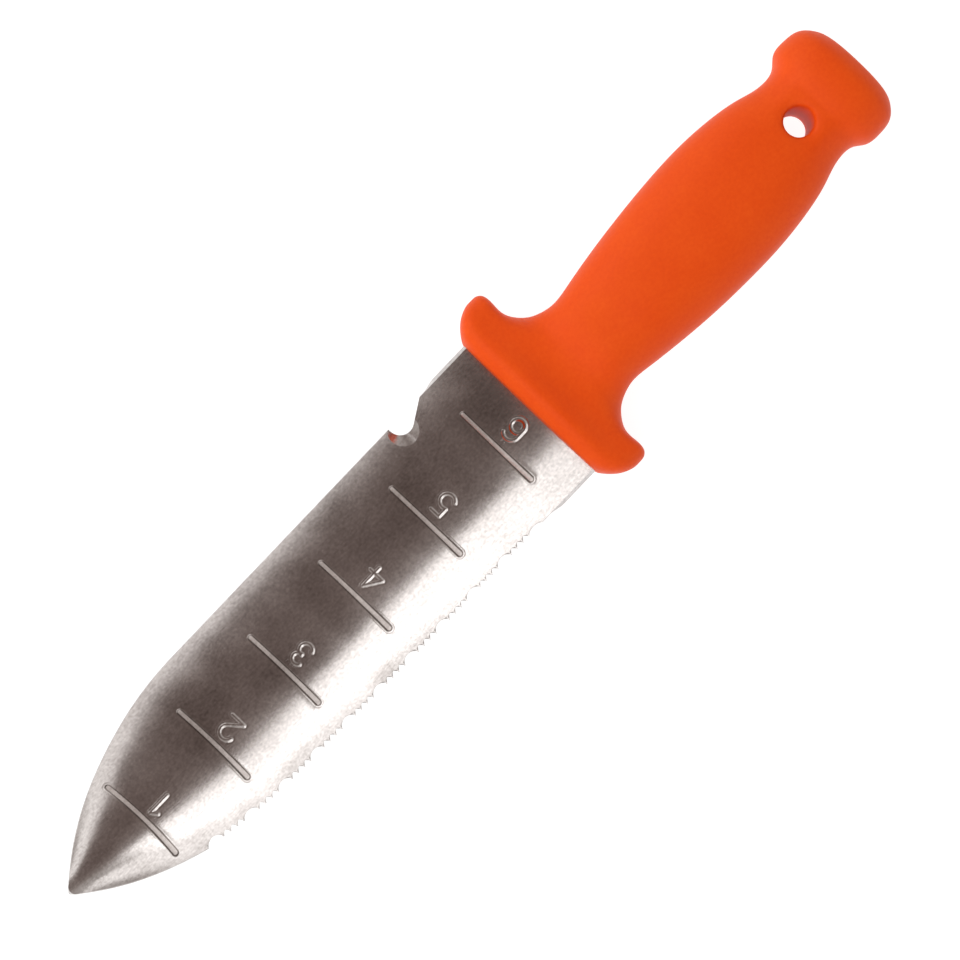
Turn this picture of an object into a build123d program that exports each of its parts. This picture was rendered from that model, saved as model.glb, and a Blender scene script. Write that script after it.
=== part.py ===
from build123d import *
import math
import os

# A gardener's soil knife, or digging trowel: a dished stainless blade with inch marks, one
# serrated edge and a twine notch, whose tang is pinned in a rigid core inside a moulded handle.
# Millimetres. X runs along the tool, from the blade's tip to the pommel, and +Z is the side that
# the dish opens to. Stations are distances from the blade's tip. The origin is under the middle
# of the tool, on the level of its lowest point.

INCH = 25.4
FAR = 60.0  # beyond the tool in any direction across it
CLEAR = 5.0  # how far a cutter reaches past what it cuts

# Driving dimensions
overall_length = 281.8
blade_reach = 164.5  # from the tip to the guard's face
blade_width = 1.75 * INCH
sheet = 2.0  # thickness of the blade's steel
handle_level = 12.64  # height of the handle's middle plane
edge_level = handle_level + 4.0  # height of the blade's tip

# Blade outline: two arcs, joined by a round nose, that run into straight edges
half_blade = blade_width / 2
ogive_radius = 94.5
ogive_drop = ogive_radius - half_blade  # from the middle line to each arc's centre
nose_radius = 1.9
nose_back = math.sqrt((ogive_radius - nose_radius) ** 2 - ogive_drop**2)
ogive_end = nose_back + nose_radius

# Tang
shoulder = blade_reach + 5.0  # station where the blade steps down to the tang
shoulder_fillet = 2.5
tang_width = 15.0
tang_end = 246.0
tang_corner = 3.0
pin_stations = (195.0, 232.0)
pin_diameter = 4.0
pin_length = 14.0

# Dish of the blade
dish_depth = 7.3  # how deep its middle lies under the edges
dish_run = 14.0  # distance from the tip in which the depth builds up
dish_fade = 2.2  # how much shallower it is at the guard
tip_rise = 0.4  # how much higher the straight edges stand than the tip
tip_hollow = 2.5
sheet_margin = 1.6  # sheet outside the outline, before it is trimmed
sheet_stations = (-1.5, 1, 4, 8, 13, 20, 30, 42, 56, 72, 95, 120, 145, 172, 210, 250)

# Edges ground on the back of the blade
edge_land = 0.6
bevel_angle = 33.0
bevel_end = 151.0
bevel_height = 10.0

# Serrated edge: groups of points with a scallop before each group
serration_line = ((32.2, 17.6), (46.0, 19.85), (58.0, 20.85), (80.0, 21.25), (110.0, 21.8))
serration_end = 146.8
tooth_groups = 10
tooth_points = 4
tooth_pitch = 2.1
tooth_land = 0.25
gullet_depth = 1.45
gullet_radius = 0.4
scallop_pitch = 4.7
scallop_depth = 1.5
last_scallop_depth = 0.9

# Twine notch in the other edge
notch_wall = 137.05
notch_ramp_end = 149.3
notch_ramp_angle = 31.0
notch_radius = 3.45
notch_grind_radius = 4.9
notch_grind_centre = (139.7, 20.05)
notch_grind_depth = 1.5
notch_grind_slope = 1.1
notch_grind_rise = 3.0

# Depth marks and their numbers
mark_count = 6
mark_length = 24.2
mark_offset = -0.6
mark_radius = 1.0
mark_depth = 0.4
digit_height = 6.1
digit_stroke = 1.2
digit_gap = 2.4  # from a mark to its number
digit_offset = -1.0
digit_depth = 0.4

# Handle: station, half width, half thickness
grip_sections = (
    (167.0, 16.2, 9.5),
    (174.0, 16.4, 9.5),
    (180.0, 15.4, 9.7),
    (184.0, 14.1, 10.1),
    (189.0, 13.6, 10.7),
    (196.0, 14.5, 11.4),
    (206.0, 15.9, 12.1),
    (219.0, 17.2, 12.5),
    (233.0, 17.7, 12.6),
    (245.0, 16.7, 12.1),
    (255.0, 14.5, 11.0),
    (262.8, 12.8, 10.3),
    (268.5, 15.1, 11.2),
    (273.0, 16.4, 11.8),
    (277.5, 15.8, 11.4),
    (280.2, 13.2, 9.5),
    (281.4, 10.4, 7.4),
    (overall_length, 7.0, 5.0),
)

# Guard: a bar whose ends are two horns that lean back, and which is thinner towards their tips
guard_front = blade_reach
guard_front_half = 20.5
horn_points = ((165.6, 23.5), (169.0, 26.9), (174.0, 28.9), (177.0, 26.3), (177.1, 22.6), (178.6, 18.2))
guard_back = 181.5
guard_back_half = 15.4
guard_back_way = (0.8, -0.6)  # direction of the outline where it meets the grip
guard_thick = 10.9  # half thickness at the middle
guard_taper = 33.0  # half length of the ellipse that the thickness follows
guard_round = 2.8
squareness = 2.5  # exponent of the rounded sections
section_points = 24

# Core
skin = 3.5  # thickness of the moulded grip over the core
core_sections = grip_sections[1:14]
flange_half_width = 20.0
flange_half_thickness = 6.5
flange_length = 5.0
hang_station = 260.3
hang_aside = 0.6  # how far the hanging hole is from the middle line
hang_radius = 3.5
hang_lining = 2.4
hang_mouth = 1.2


def at(station):
    """X of a station."""
    return station - overall_length / 2


def upright(sketch, low=-FAR, high=FAR):
    """A sketch on the XY plane, extruded from low to high."""
    return extrude(Pos(0, 0, low) * sketch, amount=high - low)


def strip(start, end, half):
    """A rectangle between two stations."""
    return Pos(at((start + end) / 2), 0) * Rectangle(end - start, 2 * half)


# Blade


def half_width(station):
    """Half width of the blade's outline, before its nose is rounded."""
    run = max(ogive_end - station, 0)
    return math.sqrt(ogive_radius**2 - run**2) - ogive_drop


def dish_at(station):
    """Depth of the dish, and how fast a section climbs from its middle."""
    build_up = 1 - math.exp(-station / dish_run)
    depth = dish_depth * build_up - dish_fade * (station / blade_reach) ** 2
    climb = (depth + tip_rise) / (half_width(station) ** 2 + tip_hollow**2)
    return depth, climb


def surface_height(station, y):
    """Height of the dished face."""
    depth, climb = dish_at(station)
    return edge_level - depth + climb * y * y


def lean_at(station, y):
    """Angle by which the dished face leans across the blade."""
    return math.degrees(math.atan(2 * dish_at(station)[1] * y))


def section_curve(station, reach, drop):
    """Curve across the dished face, lowered square to the sheet by drop."""
    x = at(station)
    middle = surface_height(station, 0) - drop
    end = surface_height(station, reach) - drop / math.cos(math.radians(lean_at(station, reach)))
    return Bezier((x, -reach, end), (x, 0, 2 * middle - end), (x, reach, end))


def sheet_section(station):
    reach = math.hypot(half_width(station), tip_hollow) + sheet_margin
    upper = section_curve(station, reach, 0)
    lower = section_curve(station, reach, sheet)
    left = Line(upper @ 0, lower @ 0)
    right = Line(upper @ 1, lower @ 1)
    return Face(Wire([upper, right, lower, left]))


def dished_sheet():
    return loft([sheet_section(station) for station in sheet_stations])


def blade_outline():
    """Plan of the blade, from the nose to the shoulders."""
    turn = math.degrees(math.atan2(nose_back, ogive_drop))
    upper = CenterArc((at(ogive_end), -ogive_drop), ogive_radius, 90, turn)
    nose = CenterArc((at(nose_radius), 0), nose_radius, 90 + turn, 180 - 2 * turn)
    lower = CenterArc((at(ogive_end), ogive_drop), ogive_radius, 270 - turn, turn)
    back = Polyline(
        (at(ogive_end), -half_blade),
        (at(shoulder), -half_blade),
        (at(shoulder), half_blade),
        (at(ogive_end), half_blade),
    )
    return make_face([upper, nose, lower, back])


def with_tang(plan):
    """The plan with its tang, which has round inner corners and clipped ends."""
    tang = strip(shoulder - CLEAR, tang_end, tang_width / 2)
    tang = chamfer(tang.vertices().group_by(Axis.X)[-1], tang_corner)
    whole = plan + tang
    corners = [v for v in whole.vertices() if abs(v.X - at(shoulder)) < 0.01]
    inner = [v for v in corners if abs(v.Y) < (tang_width + half_blade) / 2]
    return fillet(inner, shoulder_fillet)


def serration_curve():
    """Line on which the teeth of the serrated edge stand."""
    points = [(at(s), -y) for s, y in serration_line]
    return Spline(points + [(at(serration_end), -half_blade)])


def ground_strip(curve):
    """Plan of what is ground off outside the teeth."""
    start = curve @ 0
    end = curve @ 1
    outside = Polyline(end, (end.X, -FAR), (start.X, -FAR), start)
    return make_face([curve, outside])


def gullet():
    """Gap between two points: a V with a round bottom that opens to -Y."""
    mouth = (tooth_pitch - tooth_land) / 2
    corners = [(-mouth, -CLEAR), (-mouth, 0), (0, gullet_depth), (mouth, 0), (mouth, -CLEAR)]
    plan = make_face(Polyline(corners + corners[:1]))
    return fillet(plan.vertices().sort_by(Axis.Y)[-1], gullet_radius)


def scallop(depth):
    """Wide round gap that opens to -Y."""
    chord = scallop_pitch - tooth_land
    radius = (chord**2 / 4 + depth**2) / (2 * depth)
    return Pos(0, depth - radius) * Circle(radius)


def tooth_gaps(curve):
    """Plan of the gaps between the teeth, each square to the line of teeth."""
    gaps = []
    group_pitch = scallop_pitch + (tooth_points - 1) * tooth_pitch

    def place(shape, distance):
        point = curve.position_at(distance, position_mode=PositionMode.LENGTH)
        tangent = curve.tangent_at(distance, position_mode=PositionMode.LENGTH)
        turn = math.degrees(math.atan2(tangent.Y, tangent.X))
        gaps.append(Pos(point.X, point.Y) * Rot(0, 0, turn) * shape)

    for group in range(tooth_groups):
        start = group * group_pitch
        place(scallop(scallop_depth), start + scallop_pitch / 2)
        for n in range(tooth_points - 1):
            place(gullet(), start + scallop_pitch + (n + 0.5) * tooth_pitch)
    place(scallop(last_scallop_depth), tooth_groups * group_pitch + scallop_pitch / 2)
    return gaps


def notch():
    """Plan of the twine notch: a wall, a round bottom and a ramp."""
    fall = (notch_ramp_end - notch_wall) * math.tan(math.radians(notch_ramp_angle))
    rise = CLEAR * math.tan(math.radians(notch_ramp_angle))
    corners = [
        (at(notch_wall), half_blade - fall),
        (at(notch_ramp_end) + CLEAR, half_blade + rise),
        (at(notch_wall), half_blade + rise),
    ]
    plan = make_face(Polyline(corners + corners[:1]))
    return fillet(plan.vertices().sort_by(Axis.Y)[0], notch_radius)


def notch_grind():
    """Cone that grinds the notch's cutting edge, square to the sheet."""
    station, y = notch_grind_centre
    cone = Cone(
        notch_grind_radius - notch_grind_depth * notch_grind_slope,
        notch_grind_radius + notch_grind_rise * notch_grind_slope,
        notch_grind_depth + notch_grind_rise,
        align=(Align.CENTER, Align.CENTER, Align.MIN),
    )
    place = Pos(at(station), y, surface_height(station, y)) * Rot(lean_at(station, y), 0, 0)
    return place * Pos(0, 0, -notch_grind_depth) * cone


def ground_edge():
    """What is ground off the back along the +Y edge: outside a cone, then outside a slope."""
    top = edge_level + tip_rise - edge_land
    inset = bevel_height * math.tan(math.radians(bevel_angle))
    lower_end = (Align.CENTER, Align.CENTER, Align.MIN)
    around = Cone(ogive_radius - inset, ogive_radius, bevel_height, align=lower_end)
    around = Pos(at(ogive_end), -ogive_drop, top - bevel_height) * around
    slope = Polyline(
        (0, half_blade, top),
        (0, half_blade - inset, top - bevel_height),
        (0, -half_blade, top - bevel_height),
        (0, -half_blade, top),
        close=True,
    )
    length = bevel_end - ogive_end
    straight = extrude(Pos(at(ogive_end), 0, 0) * make_face(slope), amount=length, dir=(1, 0, 0))
    beside = Pos(at((bevel_end - CLEAR) / 2), FAR / 2) * Rectangle(bevel_end + CLEAR, FAR)
    return upright(beside, top - bevel_height, top) - around - straight


def mark_groove(number):
    """Round groove across the dish."""
    station = number * INCH
    lift = mark_radius - mark_depth

    def point(y):
        return Vector(at(station), y, surface_height(station, y) + lift)

    ends = [point(mark_offset - mark_length / 2), point(mark_offset + mark_length / 2)]
    path = ThreePointArc(ends[0], point(mark_offset), ends[1])
    groove = sweep(Plane(origin=path @ 0, z_dir=path % 0) * Circle(mark_radius), path)
    for end in ends:
        groove += Pos(*end) * Sphere(mark_radius)
    return groove


def stroke(*points):
    """Straight strokes with round ends, through points given in heights of a number."""
    line = Polyline([(x * digit_height, y * digit_height) for x, y in points])
    slots = []
    for edge in line.edges():
        slot = SlotCenterToCenter(edge.length, digit_stroke)
        turn = math.degrees(math.atan2((edge % 0).Y, (edge % 0).X))
        middle = edge @ 0.5
        slots.append(Pos(middle.X, middle.Y) * Rot(0, 0, turn) * slot)
    return slots


def bowl(x, y, radius, start, turn):
    """Round stroke, in heights of a number."""
    arc = CenterArc((x * digit_height, y * digit_height), radius * digit_height, start, turn)
    return [SlotArc(arc, digit_stroke)]


def eye(x, y, radius):
    """Closed round stroke, in heights of a number."""
    outer = Circle(radius * digit_height + digit_stroke / 2)
    inner = Circle(radius * digit_height - digit_stroke / 2)
    return [Pos(x * digit_height, y * digit_height) * (outer - inner)]


def digit_strokes(number):
    """Strokes of a number: right is +x, up is +y."""
    if number == 1:
        return stroke((0, -0.5), (0, 0.5), (-0.25, 0.3))
    if number == 2:
        return bowl(0, 0.18, 0.32, 165, -205) + stroke((0.245, -0.026), (-0.32, -0.5), (0.34, -0.5))
    if number == 3:
        return bowl(-0.02, 0.25, 0.25, 150, -240) + bowl(-0.02, -0.22, 0.28, 90, -245)
    if number == 4:
        return stroke((0.12, -0.5), (0.12, 0.5), (-0.34, -0.2), (0.36, -0.2))
    if number == 5:
        return bowl(-0.02, -0.18, 0.32, 120, -270) + stroke((-0.18, 0.097), (-0.18, 0.5), (0.28, 0.5))
    return eye(0, -0.19, 0.31) + bowl(0.5, -0.19, 0.81, 180, -57)


def digit_plan(number):
    """A number that is read with the blade's tip upwards."""
    plan = Sketch()
    for slot in digit_strokes(number):
        plan += slot
    return Rot(0, 0, 90) * plan


def digit_stamp(number):
    station = number * INCH + digit_gap + (digit_height + digit_stroke) / 2
    floor = surface_height(station, 0) - digit_depth
    return upright(Pos(at(station), digit_offset) * digit_plan(number), floor, floor + CLEAR)


def pin_bodies(length):
    """Cross pins, or the holes for them, square to the tang."""
    pins = []
    for station in pin_stations:
        middle = surface_height(station, 0) - sheet / 2
        pins.append(Pos(at(station), 0, middle) * Cylinder(pin_diameter / 2, length))
    return pins


def blade():
    """Stamped sheet with its tang, teeth, notch, ground edges and stamped marks."""
    curve = serration_curve()
    plan = with_tang(blade_outline() - ground_strip(curve) - notch())
    plan -= tooth_gaps(curve)
    solid = dished_sheet() & upright(plan)
    edge = ground_edge()
    solid -= [edge, mirror(edge, Plane.XZ), notch_grind()]
    for number in range(1, mark_count + 1):
        solid -= mark_groove(number)
        solid -= digit_stamp(number)
    solid -= pin_bodies(4 * sheet)
    return solid.solid()


def tang_pins():
    return Compound(pin_bodies(pin_length))


# Handle


def rounded_loop(half_a, half_b):
    """Corner points of a rounded section, as pairs."""
    pairs = []
    for n in range(section_points):
        turn = 2 * math.pi * n / section_points
        reach_a = math.copysign(abs(math.cos(turn)) ** (2 / squareness), math.cos(turn))
        reach_b = math.copysign(abs(math.sin(turn)) ** (2 / squareness), math.sin(turn))
        pairs.append((half_a * reach_a, half_b * reach_b))
    return pairs


def across_section(station, half, thick):
    """Section across the handle."""
    points = [(at(station), a, handle_level + b) for a, b in rounded_loop(half, thick)]
    return Face(Wire([Spline(points, periodic=True)]))


def guard():
    """Guard with its two horns, rounded all along its upper and lower outline."""
    points = [(guard_front, guard_front_half)] + list(horn_points) + [(guard_back, guard_back_half)]
    side = Spline([(at(s), y) for s, y in points], tangents=[(0, 1), guard_back_way])
    other = mirror(side, Plane.XZ)
    plan = make_face([Line(other @ 0, side @ 0), side, Line(side @ 1, other @ 1), other])
    across = Plane(origin=(at(guard_front), 0, handle_level), x_dir=(0, 1, 0), z_dir=(1, 0, 0))
    front = across * Ellipse(guard_taper, guard_thick)
    bar = upright(plan) & extrude(front, amount=guard_back - guard_front)
    outlines = [edge for edge in bar.edges() if abs((edge @ 0.5).Z - handle_level) > guard_round]
    return fillet(outlines, guard_round)


def outer_form():
    """Solid outer form of the handle."""
    return loft([across_section(*row) for row in grip_sections]) + guard()


def hang_cylinder(radius):
    return Pos(at(hang_station), hang_aside, handle_level) * Cylinder(radius, 2 * FAR)


def core_form():
    """Outer form of the core: the grip's form less its skin, and a flange behind the blade."""
    rows = [(shoulder,) + core_sections[0][1:]] + list(core_sections)
    sections = [across_section(s, half - skin, thick - skin) for s, half, thick in rows]
    flange = Box(flange_length, 2 * flange_half_width, 2 * flange_half_thickness)
    flange = Pos(at(shoulder + flange_length / 2), 0, handle_level) * flange
    return (loft(sections) + flange) - hang_cylinder(hang_radius + hang_lining)


def handle_core(steel):
    return core_form() - steel


def is_mouth(edge):
    """Whether an edge runs round the hanging hole."""
    point = edge @ 0.3
    gap = math.hypot(point.X - at(hang_station), point.Y - hang_aside) - hang_radius
    return abs(gap) < 0.01 and edge.geom_type != GeomType.LINE


def handle_grip(steel):
    body = outer_form() - hang_cylinder(hang_radius)
    body = fillet([edge for edge in body.edges() if is_mouth(edge)], hang_mouth)
    return body - core_form() - steel


def main():
    os.makedirs("parts", exist_ok=True)
    knife = blade()
    pins = tang_pins()
    steel = [knife] + list(pins.solids())
    export_step(knife, "parts/blade.step")
    export_step(pins, "parts/tang_pins.step")
    export_step(handle_core(steel), "parts/handle_core.step")
    export_step(handle_grip(steel), "parts/handle_grip.step")


main()
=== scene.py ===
import math
import bpy
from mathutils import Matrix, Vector


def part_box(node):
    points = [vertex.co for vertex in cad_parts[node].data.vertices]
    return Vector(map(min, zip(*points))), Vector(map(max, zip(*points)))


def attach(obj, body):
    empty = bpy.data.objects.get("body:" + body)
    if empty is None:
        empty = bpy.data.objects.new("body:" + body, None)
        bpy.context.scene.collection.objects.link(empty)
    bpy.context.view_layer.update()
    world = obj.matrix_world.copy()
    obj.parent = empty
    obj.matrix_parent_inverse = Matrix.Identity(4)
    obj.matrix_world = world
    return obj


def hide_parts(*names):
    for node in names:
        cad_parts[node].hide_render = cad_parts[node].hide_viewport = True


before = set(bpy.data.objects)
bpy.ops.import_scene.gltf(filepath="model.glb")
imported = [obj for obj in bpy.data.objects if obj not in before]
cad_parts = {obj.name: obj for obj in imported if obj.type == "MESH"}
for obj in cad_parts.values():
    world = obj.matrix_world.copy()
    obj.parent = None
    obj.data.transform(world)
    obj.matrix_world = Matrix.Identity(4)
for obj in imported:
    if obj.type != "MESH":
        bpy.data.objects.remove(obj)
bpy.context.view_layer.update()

# A gardener's soil knife lying on a pale floor. The blade is a dished stainless stamping with
# inch marks, one serrated edge and a twine notch. The handle is one orange moulding.
# Lengths are in millimetres and are turned to metres where a piece is placed. Stations are
# distances from the blade's tip, along the tool.

MM = 0.001
INCH = 25.4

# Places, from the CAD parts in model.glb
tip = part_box("blade")[0].x / MM
guard_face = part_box("handle_grip")[0].x / MM - tip
tang_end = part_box("blade")[1].x / MM - tip
half_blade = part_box("blade")[1].y / MM
handle_level = (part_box("handle_grip")[0].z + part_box("handle_grip")[1].z) / 2 / MM
floor_level = 0.0

# Blade
edge_level = handle_level + 4.0
sheet = 2.0
cut_below, cut_above = 12.0, 8.0  # how far a through cutter stands past the edges' level
overcut = 3.0  # how far it stands outside the blade
trim_side = 30  # outer side of the block that trims the edge behind the teeth
crease = math.radians(28)  # edges sharper than this stay crisp
ogive_radius = 94.5
nose_radius = 1.9
ogive_drop = ogive_radius - half_blade
nose_back = math.sqrt((ogive_radius - nose_radius) ** 2 - ogive_drop**2)
ogive_start = nose_back + nose_radius
dish_depth = 7.3
dish_run = 14.0
dish_fade = 2.2
tip_rise = 0.4
tip_hollow = 2.5
tip_draw = 1.0  # how far hand grinding has shortened the tip
tip_aside = -0.3  # and pushed it to the side
shoulder = guard_face + 5.0
shoulder_fillet = 2.5
half_tang = 7.5
tang_start = 176.0
tang_columns = 14
fillet_shares = (0.15, 0.4, 0.7, 1.0)
nose_turns = (3, 8, 14, 20, 27, 34, 41, 48)
column_end = 166.0
last_column = 168.0
column_first, column_growth, column_most = 0.35, 0.05, 1.0
middle_rows = 40
full_rows_width = 6.5  # narrower than this, the rows close up
pin_stations = (195.0, 232.0)
pin_radius = 2.0
pin_drill = 8.0  # length of the drill that makes the pins' holes

# Ground edges, on the back: rows of the mesh inside the outline, and the thickness at the edge
edge_insets = (0.0, 0.4, 0.9, 1.6, 2.4, 3.3)
edge_land = 0.35
edge_lean = 0.62  # how far the ground edges stand inside the outline
lean_start = 8.0
lean_run = 30.0
least_top_share = 0.8
grind_end = 150.0
grind_runout = 3.0

# Teeth
teeth_line = ((32.2, 17.35), (46.0, 19.6), (58.0, 20.6), (80.0, 21.1), (110.0, 21.55), (146.8, 21.65))
teeth_line_steps = 12
tooth_groups = 10
tooth_points = 4
tooth_pitch = 2.1
tooth_land = 0.25
gullet_depth = 0.9
gullet_round = (0.22, 0.9)  # half width of its bottom, and the share of its depth there
scallop_steps = 14
scallop_pitch = 4.7
scallop_depth = 1.2
last_scallop_depth = 0.75
tooth_slope = 0.3  # how far a gap leans into the blade for each millimetre down
tooth_grind_slope = 1.6  # and how far its ground edge leans out
tooth_grind_width = 0.25
edge_rise = 0.65  # how steep the dished face is at the teeth
gap_below, gap_above, grind_above = 3.0, 2.0, 2.5

# Twine notch: a wall, a round bottom and a ramp
notch_wall = 137.05
notch_ramp_end = 149.3
notch_ramp_angle = math.radians(31.0)
notch_radius = 3.45
notch_steps = 16
notch_beyond = 6.0
notch_grind_radius = 3.95
notch_grind_centre = (139.4, 18.75)
notch_grind_depth = 1.5
notch_grind_slope = 1.5
notch_grind_rise = 3.0
notch_grind_sides = 72

# Stamped marks and numbers
mark_count = 6
mark_reach = (10.9, -12.2)
mark_half = (0.8, 0.95)
mark_depth = 0.22
digit_height = 6.1
digit_half = 0.52
digit_gap = 2.45
digit_shifts = (-0.9, -0.75, -0.3, 0.0, 0.1, 0.1)
digit_offset = -1.0
digit_depth = 0.19
rim_height = 0.05
rim_width = 0.2
groove_round = 1.2  # shape of a groove: higher is more pointed
digit_reach = 2.0  # relief of a number further than this from its strokes is too small to count
least_relief = 0.0001

# Zones with a fine mesh, as first and last station past the mark, and lowest and highest y
zone_lead = 3.0
zone_tail = 12.0
mark_cuts = 5
digit_cuts = 6
upright = 0.4  # how far up a face of the dished side points, at least
face_gap = 0.5  # and how near its middle and its corners are to the dished face
corner_gap = 0.3
mark_zone = (-1.8, 1.8, mark_reach[1] - 1.8, mark_reach[0] + 1.8)
digit_zone = (1.9, 10.8, digit_offset - 4.0, digit_offset + 4.0)


def at(station, y=0.0, z=0.0):
    """A point in metres, from its station, its distance from the middle line and its height."""
    return Vector(((tip + station) * MM, y * MM, z * MM))


# Modelling


def clear_selection():
    if bpy.context.object and bpy.context.object.mode != "OBJECT":
        bpy.ops.object.mode_set(mode="OBJECT")
    bpy.ops.object.select_all(action="DESELECT")


def take(piece):
    """Makes a piece the only one selected, and the active one."""
    clear_selection()
    piece.select_set(True)
    bpy.context.view_layer.objects.active = piece
    return piece


def settle(piece, name):
    """Puts a finished piece's place into its mesh."""
    take(piece)
    bpy.ops.object.transform_apply(location=True, rotation=True, scale=True)
    piece.name = name
    piece.data.name = name
    return piece


def select_faces(piece, test):
    """In edit mode, selects the faces whose centre and normal pass the test."""
    bpy.ops.mesh.select_all(action="DESELECT")
    bpy.ops.object.mode_set(mode="OBJECT")
    for polygon in piece.data.polygons:
        polygon.select = test(polygon.center, polygon.normal)
    bpy.ops.object.mode_set(mode="EDIT")
    bpy.ops.mesh.select_mode(type="FACE")


def apply_modifier(piece, kind, **settings):
    take(piece)
    modifier = piece.modifiers.new(kind.title(), kind)
    for name, value in settings.items():
        setattr(modifier, name, value)
    bpy.ops.object.modifier_apply(modifier=modifier.name)


def cut(piece, cutter):
    """Takes the cutter away from the piece, and deletes the cutter."""
    apply_modifier(piece, "BOOLEAN", operation="DIFFERENCE", solver="EXACT", object=cutter)
    bpy.data.objects.remove(cutter)


def prism(painted_corner_shade, low, high, lean=0.0, level=0.0):
    """An upright block over a closed outline of (station, y) corners. Where it leans, to +Y
    downwards, it has the outline at the given level."""
    clear_selection()
    bpy.ops.mesh.primitive_circle_add(vertices=len(painted_corner_shade), fill_type="NGON")
    block = take(bpy.context.object)
    for vertex, (station, y) in zip(block.data.vertices, painted_corner_shade):
        vertex.co = at(station, y + lean * (level - low), low)
    bpy.ops.object.mode_set(mode="EDIT")
    bpy.ops.mesh.select_all(action="SELECT")
    rise = (0, -lean * (high - low) * MM, (high - low) * MM)
    bpy.ops.mesh.extrude_region_move(TRANSFORM_OT_translate={"value": rise})
    bpy.ops.mesh.select_all(action="SELECT")
    bpy.ops.mesh.normals_make_consistent(inside=False)
    bpy.ops.object.mode_set(mode="OBJECT")
    return block


def joined(parts):
    """Several pieces as one."""
    clear_selection()
    for part in parts:
        part.select_set(True)
    bpy.context.view_layer.objects.active = parts[0]
    bpy.ops.object.join()
    return bpy.context.object


# Blade


def drawn(station):
    """Place on the outline before the tip was ground shorter."""
    return station - tip_draw * max(1 - (station - tip_draw) / ogive_start, 0) ** 2


def half_width(place):
    """Half width of the blade and its tang."""
    station = drawn(place)
    tangent = nose_radius * (1 - nose_back / (ogive_radius - nose_radius))
    if station < tangent:
        return math.sqrt(nose_radius**2 - (nose_radius - station) ** 2)
    if station < ogive_start:
        return math.sqrt(ogive_radius**2 - (ogive_start - station) ** 2) - ogive_drop
    if station <= shoulder:
        return half_blade
    past = min(station - shoulder, shoulder_fillet)
    return half_tang + shoulder_fillet - math.sqrt(shoulder_fillet**2 - (shoulder_fillet - past) ** 2)


def aside(station):
    """How far the blade's middle line is to the side, near the tip."""
    return tip_aside * max(1 - station / ogive_start, 0) ** 2


def dish_width(station):
    """Half width that the dish follows: the pointed outline."""
    run = max(ogive_start - drawn(station), 0)
    return math.sqrt(ogive_radius**2 - run**2) - ogive_drop


def surface(station, y):
    """Height of the dished face."""
    depth = dish_depth * (1 - math.exp(-drawn(station) / dish_run)) - dish_fade * (station / guard_face) ** 2
    climb = (depth + tip_rise) / (dish_width(station) ** 2 + tip_hollow**2)
    return edge_level - depth + climb * (y - aside(station)) ** 2


def surface_normal(station, y):
    step = 0.05
    along = (surface(station + step, y) - surface(station - step, y)) / (2 * step)
    across = (surface(station, y + step) - surface(station, y - step)) / (2 * step)
    return Vector((-along, -across, 1)).normalized()


def column_stations():
    """Stations of the mesh's columns: close at the nose, then about a millimetre apart."""
    turns = [math.radians(turn) for turn in nose_turns]
    stations = [tip_draw + nose_radius * (1 - math.cos(turn)) for turn in turns]
    while stations[-1] < column_end:
        stations.append(stations[-1] + min(column_most, column_first + column_growth * stations[-1]))
    stations += [last_column, shoulder, shoulder + 0.02]
    stations += [shoulder + shoulder_fillet * share for share in fillet_shares]
    tang = tang_end - tang_start
    stations += [tang_start + tang * n / tang_columns for n in range(tang_columns + 1)]
    return stations


def row_places(width):
    """Places of the mesh's rows across the blade: close along the edges."""
    squeeze = min(1.0, width / full_rows_width)
    inner = width - edge_insets[-1] * squeeze
    left = [-width + squeeze * inset for inset in edge_insets]
    middle = [inner * (2 * (n + 1) / (middle_rows + 1) - 1) for n in range(middle_rows)]
    return left + middle + [-place for place in reversed(left)]


def edge_share(inset, station):
    """How much of the sheet's thickness is left, at an inset from a ground edge."""
    left = edge_land / sheet
    ground = left + (1 - left) * min(inset / edge_insets[-1], 1.0)
    fade = min(max((station - grind_end) / grind_runout, 0.0), 1.0)
    return ground + (1 - ground) * fade


def top_width(station):
    """Half width of the dished face, inside the outline because the sheet's wall leans."""
    width = half_width(station)
    share = min(max((station - lean_start) / lean_run, 0.0), 1.0)
    drawn_in = edge_lean * share * share * (3 - 2 * share)
    land = sheet * edge_share(0.0, min(station, grind_end)) * surface_normal(station, -width).y
    return max(width - drawn_in - land, width * least_top_share)


def blade_blank():
    """The dished sheet: a grid, given its thickness and then bent to its shape."""
    stations = column_stations()
    rows = len(row_places(1.0))
    columns = len(stations)
    clear_selection()
    bpy.ops.mesh.primitive_grid_add(x_subdivisions=columns - 1, y_subdivisions=rows - 1, size=2)
    blank = take(bpy.context.object)
    bpy.ops.object.mode_set(mode="EDIT")
    bpy.ops.mesh.select_all(action="SELECT")
    bpy.ops.mesh.extrude_region_move(TRANSFORM_OT_translate={"value": (0, 0, 1)})
    bpy.ops.object.mode_set(mode="OBJECT")
    for vertex in blank.data.vertices:
        column = round((vertex.co.x + 1) / 2 * (columns - 1))
        row = round((vertex.co.y + 1) / 2 * (rows - 1))
        station = stations[column]
        width = half_width(station)
        outer = min(row, rows - 1 - row)
        inset = edge_insets[min(outer, len(edge_insets) - 1)]
        share = edge_share(inset, station) if station < shoulder else 1.0
        y = row_places(top_width(station))[row] + aside(station)
        place = Vector((station, y, surface(station, y)))
        if vertex.co.z < 0.5:
            place -= surface_normal(station, y) * sheet * share
        vertex.co = at(*place)
    bpy.ops.object.mode_set(mode="EDIT")
    bpy.ops.mesh.select_all(action="SELECT")
    bpy.ops.mesh.normals_make_consistent(inside=False)
    bpy.ops.object.mode_set(mode="OBJECT")
    return blank


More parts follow.
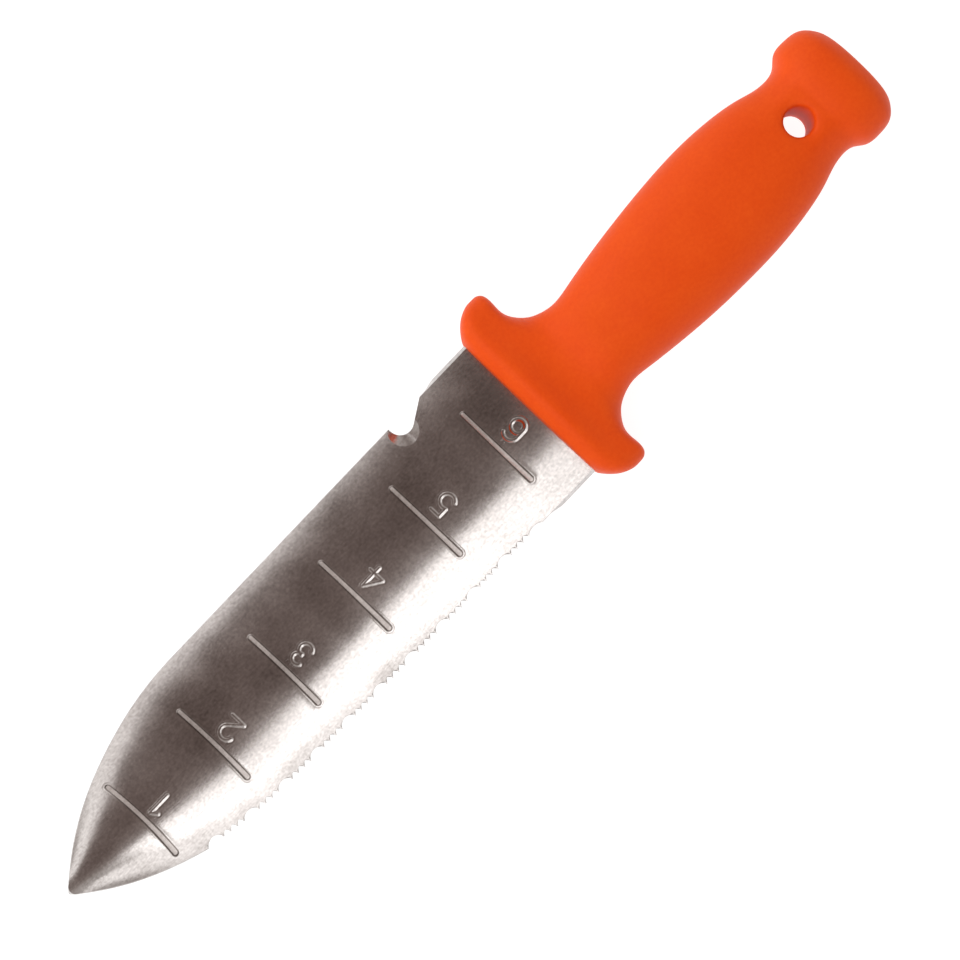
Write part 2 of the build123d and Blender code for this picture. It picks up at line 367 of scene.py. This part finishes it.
def smooth_line(points, steps):
    """A smooth line through the points, with this many steps from one to the next."""
    ends = [points[0]] + list(points) + [points[-1]]
    line = []
    for before, start, end, after in zip(ends, ends[1:], ends[2:], ends[3:]):
        for n in range(steps):
            t = n / steps
            line.append(tuple(
                ((2 * b + (c - a) * t + (2 * a - 5 * b + 4 * c - d) * t * t
                  + (3 * b - a - 3 * c + d) * t**3) / 2)
                for a, b, c, d in zip(before, start, end, after)
            ))
    return line + [points[-1]]


def teeth_place(distance):
    """Point and direction on the line of teeth, at a distance along it."""
    line = smooth_line(teeth_line, teeth_line_steps)
    for (s0, y0), (s1, y1) in zip(line, line[1:]):
        length = math.hypot(s1 - s0, y1 - y0)
        if distance <= length or s1 == line[-1][0]:
            share = distance / length
            return (s0 + share * (s1 - s0), -(y0 + share * (y1 - y0))), math.atan2(y0 - y1, s1 - s0)
        distance -= length


def gap_block(outline, distance, lean, drop, below, above):
    """A cutter for one gap, from its outline: distance along the edge, and depth into it. The
    outline is exact this far under the dished face."""
    (station, y), turn = teeth_place(distance)
    painted_corner_shade = []
    for along, depth in outline:
        painted_corner_shade.append((
            station + along * math.cos(turn) - depth * math.sin(turn),
            y + along * math.sin(turn) + depth * math.cos(turn),
        ))
    level = surface(station, y) - drop
    return prism(painted_corner_shade, level - below, level + above, lean=lean, level=level)


def gullet_outline():
    mouth = (tooth_pitch - tooth_land) / 2
    bottom, share = gullet_round
    return [
        (-mouth, -overcut),
        (mouth, -overcut),
        (mouth, 0),
        (bottom, gullet_depth * share),
        (0, gullet_depth),
        (-bottom, gullet_depth * share),
        (-mouth, 0),
    ]


def scallop_outline(depth):
    chord = scallop_pitch - tooth_land
    radius = (chord**2 / 4 + depth**2) / (2 * depth)
    half_turn = math.asin(chord / 2 / radius)
    hollow = []
    for n in range(scallop_steps + 1):
        turn = half_turn * (1 - 2 * n / scallop_steps)
        hollow.append((radius * math.sin(turn), depth - radius + radius * math.cos(turn)))
    return [(-chord / 2, -overcut), (chord / 2, -overcut)] + hollow


def teeth_gaps():
    """Outline, depth and place of each gap between the teeth."""
    gaps = []
    group_pitch = scallop_pitch + (tooth_points - 1) * tooth_pitch
    for group in range(tooth_groups):
        start = group * group_pitch
        gaps.append((scallop_outline(scallop_depth), scallop_depth, start + scallop_pitch / 2))
        for n in range(tooth_points - 1):
            distance = start + scallop_pitch + (n + 0.5) * tooth_pitch
            gaps.append((gullet_outline(), gullet_depth, distance))
    last = tooth_groups * group_pitch + scallop_pitch / 2
    gaps.append((scallop_outline(last_scallop_depth), last_scallop_depth, last))
    return gaps


def tooth_cutters():
    blocks = []
    for outline, _, distance in teeth_gaps():
        blocks.append(gap_block(outline, distance, tooth_slope, 0.0, gap_below, gap_above))
    return joined(blocks)


def tooth_grinders():
    """What is ground off the gaps' walls at the dished face."""
    blocks = []
    for outline, depth, distance in teeth_gaps():
        drop = tooth_grind_width * (1 / tooth_grind_slope + edge_rise) + depth * edge_rise
        blocks.append(gap_block(outline, distance, -tooth_grind_slope, drop, 0.0, grind_above))
    return joined(blocks)


def outside_teeth_cutter():
    """What is ground off along the whole serrated edge, down to the line of teeth."""
    inner = [(s, -y) for s, y in smooth_line(teeth_line, teeth_line_steps)]
    start, end = teeth_line[0][0], teeth_line[-1][0]
    painted_corner_shade = inner + [(end, -trim_side), (start, -trim_side)]
    return prism(painted_corner_shade, edge_level - cut_below, edge_level + cut_above)


def notch_cutter():
    middle = notch_wall + notch_radius
    drop = half_blade - (notch_ramp_end - middle) * math.tan(notch_ramp_angle)
    level = drop + notch_radius / math.cos(notch_ramp_angle)
    painted_corner_shade = []
    for n in range(notch_steps + 1):
        turn = math.pi + (math.pi / 2 + notch_ramp_angle) * n / notch_steps
        painted_corner_shade.append((middle + notch_radius * math.cos(turn), level + notch_radius * math.sin(turn)))
    outside = half_blade + notch_beyond * math.tan(notch_ramp_angle)
    painted_corner_shade += [(notch_ramp_end + notch_beyond, outside), (notch_wall, outside)]
    return prism(painted_corner_shade, edge_level - cut_below, edge_level + cut_above)


def notch_grinder():
    """Cone that grinds the notch's cutting edge on the dished side."""
    station, y = notch_grind_centre
    normal = surface_normal(station, y)
    middle = normal * (notch_grind_rise - notch_grind_depth) / 2
    place = Vector((station, y, surface(station, y))) + middle
    clear_selection()
    bpy.ops.mesh.primitive_cone_add(
        vertices=notch_grind_sides,
        radius1=(notch_grind_radius - notch_grind_depth * notch_grind_slope) * MM,
        radius2=(notch_grind_radius + notch_grind_rise * notch_grind_slope) * MM,
        depth=(notch_grind_depth + notch_grind_rise) * MM,
        location=at(*place),
        rotation=normal.to_track_quat("Z", "Y").to_euler(),
    )
    return bpy.context.object


def pin_cutters():
    drills = []
    for station in pin_stations:
        clear_selection()
        bpy.ops.mesh.primitive_cylinder_add(
            vertices=32,
            radius=pin_radius * MM,
            depth=pin_drill * MM,
            location=at(station, 0, surface(station, 0)),
        )
        drills.append(bpy.context.object)
    return joined(drills)


# Stamped relief: strokes are lists of points in the plane, and the die presses a round groove
# along each, which throws up a small rim on both sides.


def arc(x, y, radius, start, end, steps=16):
    """Points of a round stroke, from one angle in degrees to another."""
    turns = [math.radians(start + (end - start) * n / steps) for n in range(steps + 1)]
    return [(x + radius * math.cos(t), y + radius * math.sin(t)) for t in turns]


digit_strokes = {
    1: [[(0, -0.5), (0, 0.5)], [(0, 0.5), (-0.25, 0.3)]],
    2: [arc(0, 0.18, 0.32, 165, -40) + [(-0.32, -0.5), (0.34, -0.5)]],
    3: [arc(-0.02, 0.25, 0.25, 150, -90), arc(-0.02, -0.22, 0.28, 90, -155)],
    4: [[(0.12, -0.5), (0.12, 0.5), (-0.34, -0.2), (0.36, -0.2)]],
    5: [[(0.28, 0.5), (-0.18, 0.5), (-0.18, 0.097)] + arc(-0.02, -0.18, 0.32, 120, -150)],
    6: [arc(0, -0.2, 0.3, 0, 360, 28), arc(0.04, 0.16, 0.34, 35, 180) + [(-0.3, -0.2)]],
}


def digit_lines(number):
    """Strokes of a number, read with the tip upwards, as (station, y) points."""
    middle = number * INCH + digit_gap + digit_height / 2 + digit_half
    lines = []
    for stroke in digit_strokes[number]:
        lines.append([(middle - v * digit_height, digit_offset + u * digit_height) for u, v in stroke])
    return lines


def distance_to(lines, station, y):
    """Distance to the nearest stroke."""
    nearest = 1e9
    for line in lines:
        for (x0, y0), (x1, y1) in zip(line, line[1:]):
            run = (x1 - x0) ** 2 + (y1 - y0) ** 2
            share = ((station - x0) * (x1 - x0) + (y - y0) * (y1 - y0)) / run
            share = min(max(share, 0.0), 1.0)
            away = math.hypot(station - x0 - share * (x1 - x0), y - y0 - share * (y1 - y0))
            nearest = min(nearest, away)
    return nearest


def pressed(away, half, depth):
    """Height of the relief, at a distance from a groove's centre line."""
    rim = rim_height * math.exp(-(((away - half - rim_width) / rim_width) ** 2))
    if away >= half:
        return rim
    return rim - depth * math.cos(away / half * math.pi / 2) ** groove_round


def stamp(blade):
    """Refines the dished face round each mark and number, and presses them in. The attribute
    tells the steel's material how far inside a mark it is."""
    for zone, cuts in ((mark_zone, mark_cuts), (digit_zone, digit_cuts)):

        def in_zone(centre, normal):
            station, y = centre.x / MM - tip, centre.y / MM
            number = min(max(math.floor((station + zone_lead) / INCH), 1), mark_count)
            low, high, bottom, top = zone
            inside = low < station - number * INCH < high and bottom < y < top
            return inside and normal.z > upright and centre.z / MM > surface(station, y) - face_gap

        take(blade)
        bpy.ops.object.mode_set(mode="EDIT")
        select_faces(blade, in_zone)
        bpy.ops.mesh.subdivide(number_cuts=cuts)
        bpy.ops.mesh.select_all(action="SELECT")
        bpy.ops.mesh.quads_convert_to_tris(quad_method="BEAUTY", ngon_method="BEAUTY")
        bpy.ops.object.mode_set(mode="OBJECT")
    digits = {number: digit_lines(number) for number in range(1, mark_count + 1)}
    struck = blade.data.attributes.new(name="struck", type="FLOAT", domain="POINT")
    for vertex in blade.data.vertices:
        station, y = vertex.co.x / MM - tip, vertex.co.y / MM
        number = math.floor((station + zone_lead) / INCH)
        if not 1 <= number <= mark_count or station > number * INCH + zone_tail:
            continue
        level = surface(station, y)
        if abs(vertex.co.z / MM - level) > corner_gap:
            continue
        mark = [[(number * INCH, mark_reach[0]), (number * INCH, mark_reach[1])]]
        share = (mark_reach[0] - y) / (mark_reach[0] - mark_reach[1])
        half = mark_half[0] + (mark_half[1] - mark_half[0]) * min(max(share, 0.0), 1.0)
        away = distance_to(mark, station, y)
        relief = pressed(away, half, mark_depth)
        struck.data[vertex.index].value = max(1 - away / half, 0.0)
        away = distance_to(digits[number], station - digit_shifts[number - 1], y)
        if away < digit_reach:
            relief += pressed(away, digit_half, digit_depth)
        if abs(relief) > least_relief:
            vertex.co = at(station, y, level + relief)


def blade():
    piece = blade_blank()
    cut(piece, outside_teeth_cutter())
    cut(piece, tooth_cutters())
    cut(piece, tooth_grinders())
    cut(piece, notch_cutter())
    cut(piece, notch_grinder())
    cut(piece, pin_cutters())
    stamp(piece)
    settle(piece, "blade_stamping")
    bpy.ops.object.shade_smooth_by_angle(angle=crease)
    return piece


# Handle


# Rings on the moulding's surface: station, half width, half thickness, how far to +Y
rings = (
    (164.6, 21.3, 8.4, -0.1),
    (165.2, 22.4, 10.1, -0.1),
    (168.3, 22.2, 11.9, -0.1),
    (172.6, 21.4, 10.3, -0.1),
    (176.6, 20.0, 9.0, -0.1),
    (179.9, 16.75, 8.8, -0.1),
    (183.0, 14.75, 9.3, -0.1),
    (187.5, 13.65, 10.6, -0.1),
    (193.5, 14.3, 11.2, -0.1),
    (202.0, 15.55, 12.0, -0.05),
    (213.0, 16.75, 12.4, 0.0),
    (225.0, 17.5, 12.55, 0.15),
    (236.0, 17.6, 12.5, 0.27),
    (246.0, 16.8, 12.1, 0.33),
    (254.3, 15.25, 11.2, 0.33),
    (260.3, 13.5, 10.5, 0.35),
    (266.1, 13.55, 10.7, 0.5),
    (269.6, 15.95, 11.4, 0.68),
    (273.5, 16.5, 11.8, 0.6),
    (277.4, 15.85, 11.3, 0.5),
    (280.0, 13.5, 9.4, 0.4),
    (281.3, 10.6, 7.4, 0.3),
    (281.8, 6.0, 4.4, 0.2),
)
ring_shape = (
    (1.0, 0.0), (0.93, 0.62), (0.52, 0.98), (0.0, 1.04), (-0.52, 0.98), (-0.93, 0.62),
    (-1.0, 0.0), (-0.93, -0.62), (-0.52, -0.98), (0.0, -1.04), (0.52, -0.98), (0.93, -0.62),
)
# What a smoothed ring reaches, for a cage ring of size one
ring_reach = (ring_shape[1][0] + 4 * ring_shape[0][0] + ring_shape[-1][0]) / 6
ring_rise = (ring_shape[2][1] + 4 * ring_shape[3][1] + ring_shape[4][1]) / 6
# Steps of a horn's cage, outwards: how far out, front station, rear station, half thickness
horn_root = (22.0, 164.6, 176.8, 9.0)
horn_steps = (
    (24.5, 165.8, 177.4, 8.2),
    (26.6, 167.7, 177.3, 7.2),
    (28.0, 169.8, 176.8, 5.6),
    (28.8, 172.2, 175.4, 3.2),
)
guard_end = 178.5
guard_lift = 1.32  # how much thicker the guard is beside its middle than the grip's section
guard_beside = 0.8 * half_blade  # lifted only further aside than this,
guard_off_middle = 3.0  # and further above or below the handle's level than this
horn_margin = 0.3
smoothing = 3
hole_station = 260.3
hole_aside = 0.6
hole_reach = 6.0
hole_inset = 0.5
facing = 0.6  # how far a face points one way, at least, to count as facing it
# Loops of the hanging hole's cage, inwards: radius, and share of the height
hole_loops = ((5.9, 1.0), (4.5, 0.98), (3.88, 0.82))


def caged(values):
    """Values of a cage's rings, for a smoothed surface that passes through the given ones."""
    cage = list(values)
    for _ in range(40):  # enough rounds to settle
        for n in range(1, len(values) - 1):
            cage[n] += values[n] - (cage[n - 1] + 4 * cage[n] + cage[n + 1]) / 6
    return cage


def grip_cage():
    """Rings extruded along the handle."""
    columns = [caged(column) for column in zip(*rings)]
    cages = [(s, half / ring_reach, thick / ring_rise, shift) for s, half, thick, shift in zip(*columns)]
    clear_selection()
    bpy.ops.mesh.primitive_circle_add(vertices=len(ring_shape), fill_type="NGON")
    cage = take(bpy.context.object)
    station, half, thick, shift = cages[0]
    for vertex, (across, up) in zip(cage.data.vertices, ring_shape):
        vertex.co = at(station, half * across + shift, handle_level + thick * up)
    bpy.ops.object.mode_set(mode="EDIT")
    bpy.ops.mesh.select_all(action="SELECT")
    for next_station, next_half, next_thick, next_shift in cages[1:]:
        step = ((next_station - station) * MM, (next_shift - shift) * MM, 0)
        bpy.ops.mesh.extrude_region_move(TRANSFORM_OT_translate={"value": step})
        bpy.ops.transform.resize(
            value=(1, next_half / half, next_thick / thick),
            center_override=at(next_station, next_shift, handle_level),
        )
        station, half, thick, shift = next_station, next_half, next_thick, next_shift
    bpy.ops.mesh.select_all(action="SELECT")
    bpy.ops.mesh.normals_make_consistent(inside=False)
    bpy.ops.object.mode_set(mode="OBJECT")
    return cage


def lift_guard(cage):
    """Thickens the guard towards its sides, where the horns grow from."""
    take(cage)
    bpy.ops.object.mode_set(mode="EDIT")
    bpy.ops.mesh.select_mode(type="VERT")
    bpy.ops.mesh.select_all(action="DESELECT")
    bpy.ops.object.mode_set(mode="OBJECT")
    for vertex in cage.data.vertices:
        beside = abs(vertex.co.y) > guard_beside * MM
        off_middle = abs(vertex.co.z - at(0, 0, handle_level).z) > guard_off_middle * MM
        vertex.select = vertex.co.x < at(guard_end).x and beside and off_middle
    bpy.ops.object.mode_set(mode="EDIT")
    bpy.ops.transform.resize(value=(1, 1, guard_lift), center_override=at(0, 0, handle_level))
    bpy.ops.object.mode_set(mode="OBJECT")


def grow_horn(cage, side):
    """Extrudes one of the guard's horns from the faces on its side."""
    front, rear = at(rings[1][0] - horn_margin).x, at(rings[4][0] + horn_margin).x

    def on_side(centre, normal):
        return front < centre.x < rear and normal.y * side > facing

    take(cage)
    bpy.ops.object.mode_set(mode="EDIT")
    select_faces(cage, on_side)
    out, start, end, thick = horn_root
    for next_out, next_start, next_end, next_thick in horn_steps:
        move = ((next_start + next_end - start - end) / 2 * MM, side * (next_out - out) * MM, 0)
        bpy.ops.mesh.extrude_region_move(TRANSFORM_OT_translate={"value": move})
        bpy.ops.transform.resize(
            value=((next_end - next_start) / (end - start), 0, next_thick / thick),
            center_override=at((next_start + next_end) / 2, side * next_out, handle_level),
        )
        out, start, end, thick = next_out, next_start, next_end, next_thick
    bpy.ops.object.mode_set(mode="OBJECT")


def round_loop(radius):
    """Puts the outline of the selected faces on a circle round the hanging hole, as an octagon."""
    mesh = bpy.context.object.data
    eighth = math.radians(45)
    bpy.ops.object.mode_set(mode="OBJECT")
    centre = at(hole_station, hole_aside)
    chosen = {index for polygon in mesh.polygons if polygon.select for index in polygon.vertices}
    for index in chosen:
        place = mesh.vertices[index].co
        away = Vector((place.x - centre.x, place.y - centre.y, 0))
        if away.length > 1 * MM:
            turn = round(math.atan2(away.y, away.x) / eighth) * eighth
            place.x = centre.x + radius * MM * math.cos(turn)
            place.y = centre.y + radius * MM * math.sin(turn)
    bpy.ops.object.mode_set(mode="EDIT")


def open_hole(cage):
    """Insets the faces over and under the hanging hole, rounds them, and joins them through."""
    reach = hole_reach * MM
    middle = at(hole_station, hole_aside)

    def over_hole(centre, normal):
        away = centre - middle
        return abs(away.x) < reach and abs(away.y) < reach and abs(normal.z) > facing

    take(cage)
    bpy.ops.object.mode_set(mode="EDIT")
    select_faces(cage, over_hole)
    for radius, share in hole_loops:
        bpy.ops.mesh.inset(thickness=hole_inset * MM)
        bpy.ops.transform.resize(value=(1, 1, share), center_override=at(hole_station, 0, handle_level))
        round_loop(radius)
    bpy.ops.mesh.delete(type="FACE")
    bpy.ops.mesh.select_mode(type="EDGE")
    bpy.ops.mesh.select_all(action="DESELECT")
    bpy.ops.mesh.select_non_manifold()
    bpy.ops.mesh.bridge_edge_loops()
    bpy.ops.mesh.select_all(action="SELECT")
    bpy.ops.mesh.normals_make_consistent(inside=False)
    bpy.ops.object.mode_set(mode="OBJECT")


def handle():
    piece = grip_cage()
    lift_guard(piece)
    grow_horn(piece, 1)
    grow_horn(piece, -1)
    open_hole(piece)
    apply_modifier(piece, "SUBSURF", levels=smoothing, render_levels=smoothing)
    settle(piece, "handle_moulding")
    bpy.ops.object.shade_smooth()
    return piece


# Materials


def paint(code):
    """An sRGB hex colour as linear RGBA."""
    channels = [int(code[n:n + 2], 16) / 255 for n in (0, 2, 4)]
    linear = [c / 12.92 if c <= 0.04045 else ((c + 0.055) / 1.055) ** 2.4 for c in channels]
    return (*linear, 1.0)


def add(tree, kind, inputs=(), stops=(), **settings):
    """Adds a node with its settings, and gives a ramp its stops. An input is set to a value, or
    linked to a socket or to a node's first output."""
    made = tree.nodes.new(kind)
    for name, value in settings.items():
        setattr(made, name, value)
    for socket, value in dict(inputs).items():
        if isinstance(value, bpy.types.Node):
            value = value.outputs[0]
        if isinstance(value, bpy.types.NodeSocket):
            tree.links.new(value, made.inputs[socket])
        else:
            made.inputs[socket].default_value = value
    if stops:
        while len(made.color_ramp.elements) < len(stops):
            made.color_ramp.elements.new(0.5)
        for element, (place, code) in zip(made.color_ramp.elements, stops):
            element.position = place
            element.color = paint(code)
    return made


def material(name):
    """A new material, with its tree and its shader."""
    made = bpy.data.materials.new(name)
    made.use_nodes = True
    return made, made.node_tree, made.node_tree.nodes["Principled BSDF"]


def per_mm(size):
    """Scale of a texture whose features are this many millimetres across."""
    return 1 / (size * MM)


# Where most of a noise's values lie
noise_span = {"From Min": 0.3, "From Max": 0.7}


def tumbled_stainless():
    """Stainless sheet, tumbled after stamping: a blurred grey mirror with a fine grain, cloudy
    stains and soft streaks along the blade."""
    made, tree, shader = material("tumbled_stainless_steel")
    place = add(tree, "ShaderNodeTexCoord").outputs["Object"]
    # The tumbled grain is under 0.1 mm in steel, and is drawn coarser to show
    grain = add(tree, "ShaderNodeTexNoise", {"Vector": place, "Scale": per_mm(0.8), "Detail": 5.0})
    clouds = add(tree, "ShaderNodeTexNoise", {"Vector": place, "Scale": per_mm(14), "Detail": 5.0})
    streak_sizes = [per_mm(size) for size in (9, 1.1, 9)]
    stretched = add(tree, "ShaderNodeMapping", {"Vector": place, "Scale": streak_sizes})
    streaks = add(tree, "ShaderNodeTexNoise", {"Vector": stretched, "Detail": 3.0})
    pits = add(tree, "ShaderNodeMapRange", {**noise_span, "Value": grain, "To Min": -0.12, "To Max": 0.12})
    stains = add(tree, "ShaderNodeMapRange", {**noise_span, "Value": clouds, "To Min": -0.15, "To Max": 0.15})
    lines = add(tree, "ShaderNodeMapRange", {**noise_span, "Value": streaks, "To Min": 0.42, "To Max": 0.58})
    stained = add(tree, "ShaderNodeMath", {0: pits, 1: stains}, operation="ADD")
    shade = add(tree, "ShaderNodeMath", {0: stained, 1: lines}, operation="ADD")
    steel_stops = ((0.2, "9C9794"), (0.5, "C2BEBC"), (0.8, "DEDBD9"))
    steel = add(tree, "ShaderNodeValToRGB", {"Fac": shade}, steel_stops)
    # The tumbling stones didn't reach into the marks, so their floors are rougher. The floors are also
    # painted paler, a painted highlight, and their corners are painted darker, as painted shade
    struck = add(tree, "ShaderNodeAttribute", attribute_name="struck").outputs["Fac"]
    # Painted shade: the marks' corners are coloured darker, and elsewhere the steel's colour is left alone
    corner_shade_stops = ((0.0, "FFFFFF"), (0.12, "8C8480"), (0.3, "9A928E"), (0.5, "FFFFFF"), (1.0, "FFFFFF"))
    painted_corner_shade = add(tree, "ShaderNodeValToRGB", {"Fac": struck}, corner_shade_stops)
    # Painted highlight: a paler colour is added on the marks' floors
    painted_floor_light = add(tree, "ShaderNodeValToRGB", {"Fac": struck}, ((0.35, "000000"), (0.6, "8A8785")))
    colour = add(tree, "ShaderNodeVectorMath", {0: steel, 1: painted_corner_shade, 2: painted_floor_light}, operation="MULTIPLY_ADD")
    tree.links.new(colour.outputs[0], shader.inputs["Base Color"])
    tumbled = add(tree, "ShaderNodeMapRange", {**noise_span, "Value": clouds, "To Min": 0.18, "To Max": 0.27})
    rough_span = {"From Min": 0.3, "From Max": 0.6, "To Min": 0.0, "To Max": 0.4}
    rougher = add(tree, "ShaderNodeMapRange", {**rough_span, "Value": struck})
    roughness = add(tree, "ShaderNodeMath", {0: tumbled, 1: rougher}, operation="ADD")
    tree.links.new(roughness.outputs[0], shader.inputs["Roughness"])
    shader.inputs["Metallic"].default_value = 1.0
    bump = add(tree, "ShaderNodeBump", {"Height": grain, "Strength": 0.2, "Distance": 0.02 * MM})
    tree.links.new(bump.outputs[0], shader.inputs["Normal"])
    return made


def orange_polypropylene():
    """Polypropylene from a lightly eroded mould: saturated orange with a soft, grainy sheen."""
    made, tree, shader = material("moulded_orange_polypropylene")
    place = add(tree, "ShaderNodeTexCoord").outputs["Object"]
    # An eroded mould's grain is about 0.1 mm, and is drawn coarser to show
    grain = add(tree, "ShaderNodeTexNoise", {"Vector": place, "Scale": per_mm(0.9), "Detail": 3.0})
    clouds = add(tree, "ShaderNodeTexNoise", {"Vector": place, "Scale": per_mm(11), "Detail": 3.0})
    pores = add(tree, "ShaderNodeMapRange", {**noise_span, "Value": grain, "To Min": -0.12, "To Max": 0.12})
    flow = add(tree, "ShaderNodeMapRange", {**noise_span, "Value": clouds, "To Min": 0.4, "To Max": 0.6})
    shade = add(tree, "ShaderNodeMath", {0: pores, 1: flow}, operation="ADD")
    orange_stops = ((0.2, "E84A0C"), (0.5, "EE520F"), (0.8, "F35B14"))
    colour = add(tree, "ShaderNodeValToRGB", {"Fac": shade}, orange_stops)
    tree.links.new(colour.outputs[0], shader.inputs["Base Color"])
    satin = add(tree, "ShaderNodeMapRange", {**noise_span, "Value": clouds, "To Min": 0.46, "To Max": 0.56})
    tree.links.new(satin.outputs[0], shader.inputs["Roughness"])
    shader.inputs["Specular IOR Level"].default_value = 0.15
    bump = add(tree, "ShaderNodeBump", {"Height": grain, "Strength": 0.35, "Distance": 0.05 * MM})
    tree.links.new(bump.outputs[0], shader.inputs["Normal"])
    return made


def black_nylon():
    """Glass-filled nylon: near black, with pale flecks where the fibres reach the skin."""
    made, tree, shader = material("moulded_black_nylon")
    place = add(tree, "ShaderNodeTexCoord").outputs["Object"]
    fibre_sizes = [per_mm(size) for size in (2.0, 0.4, 0.4)]
    stretched = add(tree, "ShaderNodeMapping", {"Vector": place, "Scale": fibre_sizes})
    fibres = add(tree, "ShaderNodeTexNoise", {"Vector": stretched, "Detail": 3.0})
    black_stops = ((0.4, "191A1B"), (0.6, "232425"), (0.75, "3A3B3C"))
    colour = add(tree, "ShaderNodeValToRGB", {"Fac": fibres}, black_stops)
    tree.links.new(colour.outputs[0], shader.inputs["Base Color"])
    matt = add(tree, "ShaderNodeMapRange", {**noise_span, "Value": fibres, "To Min": 0.45, "To Max": 0.6})
    tree.links.new(matt.outputs[0], shader.inputs["Roughness"])
    bump = add(tree, "ShaderNodeBump", {"Height": fibres, "Strength": 0.2, "Distance": 0.04 * MM})
    tree.links.new(bump.outputs[0], shader.inputs["Normal"])
    return made


def drawn_steel():
    """Cold-drawn steel wire for the pins: bright, with fine lines along the draw."""
    made, tree, shader = material("drawn_steel_wire")
    place = add(tree, "ShaderNodeTexCoord").outputs["Object"]
    line_sizes = [per_mm(size) for size in (0.3, 0.3, 6.0)]
    stretched = add(tree, "ShaderNodeMapping", {"Vector": place, "Scale": line_sizes})
    lines = add(tree, "ShaderNodeTexNoise", {"Vector": stretched, "Detail": 2.0})
    colour = add(tree, "ShaderNodeValToRGB", {"Fac": lines}, ((0.3, "A9A9AA"), (0.7, "CFCFD0")))
    tree.links.new(colour.outputs[0], shader.inputs["Base Color"])
    satin = add(tree, "ShaderNodeMapRange", {**noise_span, "Value": lines, "To Min": 0.22, "To Max": 0.36})
    tree.links.new(satin.outputs[0], shader.inputs["Roughness"])
    shader.inputs["Metallic"].default_value = 1.0
    return made


def give(piece, made):
    """Makes a material the piece's only one."""
    piece.data.materials.clear()
    piece.data.materials.append(made)


# Stage


floor_size = 30  # metres
crown = math.radians(17)  # how far the tent's dark crown leans to the -Y side
camera_height = 662.0
camera_station = 143.6
camera_y = -3.3
camera_turn = math.radians(-46.41)
view_level = 14.3
view_span = 236.5  # width that the camera sees at that level


def stage():
    """A pale table that glows, so that shadows on it stay weak."""
    clear_selection()
    bpy.ops.mesh.primitive_plane_add(size=floor_size, location=(0, 0, floor_level))
    floor = bpy.context.object
    floor.name = "floor"
    made, tree, shader = material("pale_floor")
    shader.inputs["Base Color"].default_value = paint("8C8C8C")
    shader.inputs["Roughness"].default_value = 0.95
    shader.inputs["Specular IOR Level"].default_value = 0.1
    shader.inputs["Emission Color"].default_value = paint("FFFFFF")
    shader.inputs["Emission Strength"].default_value = 0.92
    give(floor, made)


def card(name, away, along, distance, size, radiance, lights_up=True, mirrored=True):
    """A lit card, this many degrees from overhead to the +Y side, and along the tool. Distance and
    size are in metres."""
    lamp = bpy.data.lights.new(name, "AREA")
    lamp.shape = "RECTANGLE"
    lamp.size, lamp.size_y = size
    lamp.energy = radiance * math.pi * size[0] * size[1]
    holder = bpy.data.objects.new(name, lamp)
    away, along = math.radians(away), math.radians(along)
    flat = math.cos(along)
    direction = Vector((math.sin(along), math.sin(away) * flat, math.cos(away) * flat))
    holder.location = direction * distance
    holder.rotation_euler = direction.to_track_quat("Z", "X").to_euler()
    holder.visible_diffuse = lights_up
    holder.visible_glossy = mirrored
    bpy.context.scene.collection.objects.link(holder)


def cards():
    """The softbox that whitens one flank of the blade, with its hot middle, a big soft key that the
    steel doesn't mirror, and a strip low on the other side that only the steel's edge mirrors."""
    card("key_softbox", 58, -13, 1.1, (0.56, 1.5), 1.08)
    card("key_middle", 37, -5.8, 1.1, (0.46, 0.3), 2.0, lights_up=False)
    card("soft_key", 2, -22, 1.2, (1.0, 1.0), 2.55, mirrored=False)
    card("edge_strip", -66, 0, 1.2, (0.5, 2.4), 0.85, lights_up=False)


def room():
    """A tent: dark and warm round the lens overhead, light near the horizon."""
    world = bpy.data.worlds.new("studio")
    world.use_nodes = True
    tree = world.node_tree
    direction = add(tree, "ShaderNodeTexCoord").outputs["Generated"]
    lens_side = (0.0, -math.sin(crown), math.cos(crown))
    height = add(tree, "ShaderNodeVectorMath", {0: direction, 1: lens_side}, operation="DOT_PRODUCT")
    walls = ((0.60, "C6BFBB"), (0.73, "A89C97"), (0.83, "8E807B"), (0.92, "7E6F6A"), (1.0, "756661"))
    colour = add(tree, "ShaderNodeValToRGB", {"Fac": height.outputs["Value"]}, walls)
    tree.links.new(colour.outputs[0], tree.nodes["Background"].inputs["Color"])
    bpy.context.scene.world = world


def camera():
    """A camera straight overhead, turned so that the tool lies slantwise."""
    eye = bpy.data.cameras.new("camera")
    eye.sensor_width = 36
    eye.lens = eye.sensor_width * (camera_height - view_level) / view_span
    holder = bpy.data.objects.new("camera", eye)
    holder.location = at(camera_station, camera_y, camera_height)
    holder.rotation_euler = (0, 0, camera_turn)
    bpy.context.scene.collection.objects.link(holder)
    bpy.context.scene.camera = holder


blade_piece = blade()
give(blade_piece, tumbled_stainless())
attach(blade_piece, "root")
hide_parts("blade")

handle_piece = handle()
give(handle_piece, orange_polypropylene())
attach(handle_piece, "root")
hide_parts("handle_grip")

give(bpy.data.objects["handle_core"], black_nylon())
give(bpy.data.objects["tang_pins"], drawn_steel())

stage()
cards()
room()
camera()
bpy.context.scene.view_settings.view_transform = "Standard"
